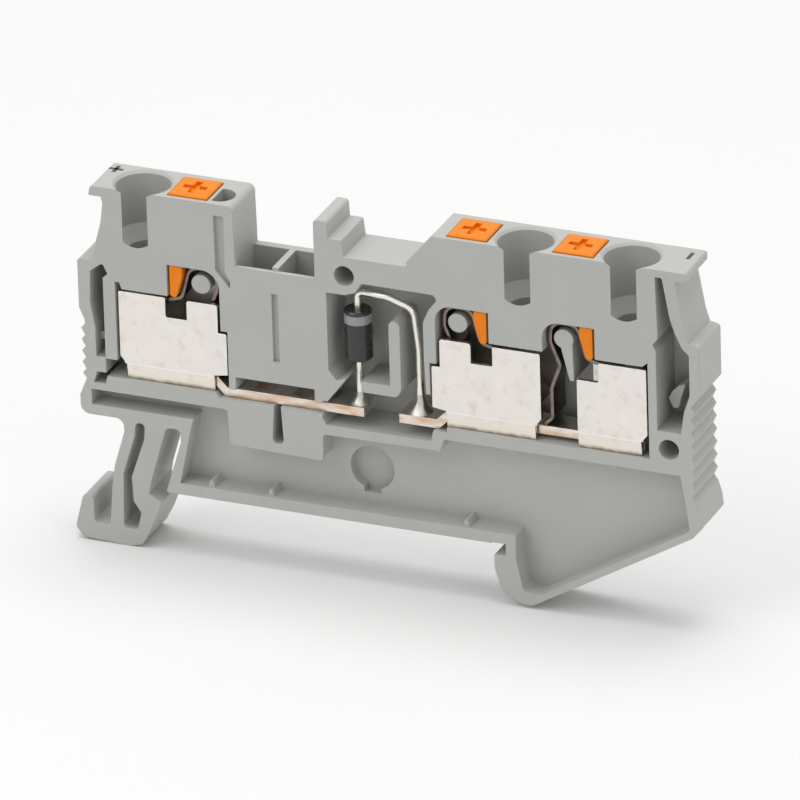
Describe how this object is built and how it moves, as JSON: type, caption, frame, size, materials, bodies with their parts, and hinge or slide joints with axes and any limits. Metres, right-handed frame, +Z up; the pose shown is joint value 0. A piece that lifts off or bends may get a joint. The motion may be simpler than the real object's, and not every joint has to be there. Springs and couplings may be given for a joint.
{
  "type": "component terminal block",
  "caption": "Narrow rail-mounted terminal block, open on one side, with push-in clamps, release buttons, current bars and a diode between them.",
  "frame": {"origin": "middle of the seat that rests on the rail, halfway through the block's thickness", "axes": "+X along the block, +Y from the open side to the closed side, +Z up to the wire side"},
  "size_m": [0.0601, 0.0064, 0.0351],
  "materials": {
    "housing": "fine moulded grey polyamide",
    "button": "orange moulded polyamide",
    "tinned_sheet": "bright tin plate over copper alloy",
    "tinned_copper": "tin plate with copper at the cut edges",
    "spring_steel": "bare rolled spring steel",
    "diode": "black moulded epoxy",
    "tinned_wire": "tinned wire",
    "solder": "cooled solder"
  },
  "bodies": {
    "block": {"housing": "housing", "cage_left": "tinned_sheet", "cage_inner": "tinned_sheet", "cage_outer": "tinned_sheet", "current_bar_left": "tinned_copper", "current_bar_right": "tinned_copper", "spring_left": "spring_steel", "spring_inner": "spring_steel", "spring_outer": "spring_steel", "diode_body": "diode", "diode_lead_lower": "tinned_wire", "diode_lead_upper": "tinned_wire", "solder_left": "solder", "solder_right": "solder"},
    "left_button": {"button_left": "button"},
    "inner_button": {"button_inner": "button"},
    "outer_button": {"button_outer": "button"}
  },
  "joints": [
    {"name": "left_release", "type": "slide", "parent": "block", "child": "left_button", "axis": [0, 0, -1], "range_m": [0, 0.0015], "stiffness_N_per_m": 300, "springref_m": -0.0004, "deforming": ["spring_left"]},
    {"name": "inner_release", "type": "slide", "parent": "block", "child": "inner_button", "axis": [0, 0, -1], "range_m": [0, 0.0015], "stiffness_N_per_m": 300, "springref_m": -0.0004, "deforming": ["spring_inner"]},
    {"name": "outer_release", "type": "slide", "parent": "block", "child": "outer_button", "axis": [0, 0, -1], "range_m": [0, 0.0015], "stiffness_N_per_m": 300, "springref_m": -0.0004, "deforming": ["spring_outer"]}
  ]
}
